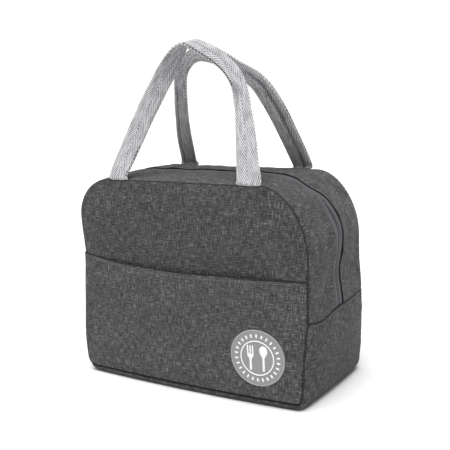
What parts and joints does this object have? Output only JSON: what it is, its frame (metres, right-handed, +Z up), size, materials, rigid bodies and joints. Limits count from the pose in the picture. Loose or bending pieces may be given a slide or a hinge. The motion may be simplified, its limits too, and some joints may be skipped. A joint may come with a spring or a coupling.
{
  "type": "insulated lunch bag",
  "caption": "Soft box-shaped insulated lunch bag with a zipped arched top, a flat front pocket, a round badge and a pair of webbing handles.",
  "frame": {"origin": "on the floor under the middle of the base", "axes": "+X to the right as seen from the front, -Y out of the front pocket, +Z up"},
  "size_m": [0.242, 0.1233, 0.3067],
  "materials": {
    "melange_fabric": "dark warm-grey heathered polyester oxford weave",
    "foam": "white closed-cell foam sheet",
    "foil_lining": "thin silver foil film, slightly crinkled",
    "binding": "dark non-woven binding tape",
    "zip_tape": "smooth blue-grey woven tape",
    "zip_coil": "nylon coil, satin",
    "zip_metal": "dark enamelled zinc",
    "webbing": "light and mid grey herringbone webbing",
    "badge_grey": "mid-grey matt heat-pressed film",
    "badge_white": "white matt heat-pressed film"
  },
  "bodies": {
    "bag_body": {"front_panel_lower": "melange_fabric", "foam_front_lower": "foam", "lining_front_lower": "foil_lining", "seam_binding_front_lower": "binding", "back_panel_lower": "melange_fabric", "foam_back_lower": "foam", "lining_back_lower": "foil_lining", "seam_binding_back_lower": "binding", "gusset_lower": "melange_fabric", "foam_gusset_lower": "foam", "lining_gusset_lower": "foil_lining", "pocket_lower": "melange_fabric", "badge_disc": "badge_grey", "badge_ring": "badge_white"},
    "front_half": {"front_panel_upper": "melange_fabric", "foam_front_upper": "foam", "lining_front_upper": "foil_lining", "seam_binding_front_upper": "binding", "gusset_upper_front": "melange_fabric", "foam_gusset_front": "foam", "lining_gusset_front": "foil_lining", "zip_tape_front": "zip_tape", "zip_coil_front": "zip_coil", "pocket_upper": "melange_fabric"},
    "back_half": {"back_panel_upper": "melange_fabric", "foam_back_upper": "foam", "lining_back_upper": "foil_lining", "seam_binding_back_upper": "binding", "gusset_upper_back": "melange_fabric", "foam_gusset_back": "foam", "lining_gusset_back": "foil_lining", "zip_tape_back": "zip_tape", "zip_coil_back": "zip_coil"},
    "front_handle": {"front_handle": "webbing"},
    "back_handle": {"back_handle": "webbing"},
    "zip_slider": {"zip_slider": "zip_metal"},
    "pull_tab": {"zip_pull_tab": "zip_metal"}
  },
  "joints": [
    {"name": "front_half_fold", "type": "hinge", "parent": "bag_body", "child": "front_half", "pos_m": [0, -0.0642, 0.077], "axis": [1, 0, 0], "range_deg": [0, 20]},
    {"name": "back_half_fold", "type": "hinge", "parent": "bag_body", "child": "back_half", "pos_m": [0, 0.0575, 0.077], "axis": [-1, 0, 0], "range_deg": [0, 20]},
    {"name": "front_handle_swing", "type": "hinge", "parent": "front_half", "child": "front_handle", "pos_m": [0, -0.0579, 0.1866], "axis": [1, 0, 0], "range_deg": [0, 165]},
    {"name": "back_handle_swing", "type": "hinge", "parent": "back_half", "child": "back_handle", "pos_m": [0, 0.0579, 0.1866], "axis": [-1, 0, 0], "range_deg": [0, 165]},
    {"name": "zip_slide", "type": "slide", "parent": "bag_body", "child": "zip_slider", "axis": [0, 0, -1], "range_m": [-0.055, 0]},
    {"name": "pull_tab_swing", "type": "hinge", "parent": "zip_slider", "child": "pull_tab", "pos_m": [-0.1217, 0, 0.085], "axis": [0, 1, 0], "range_deg": [0, 170]}
  ]
}
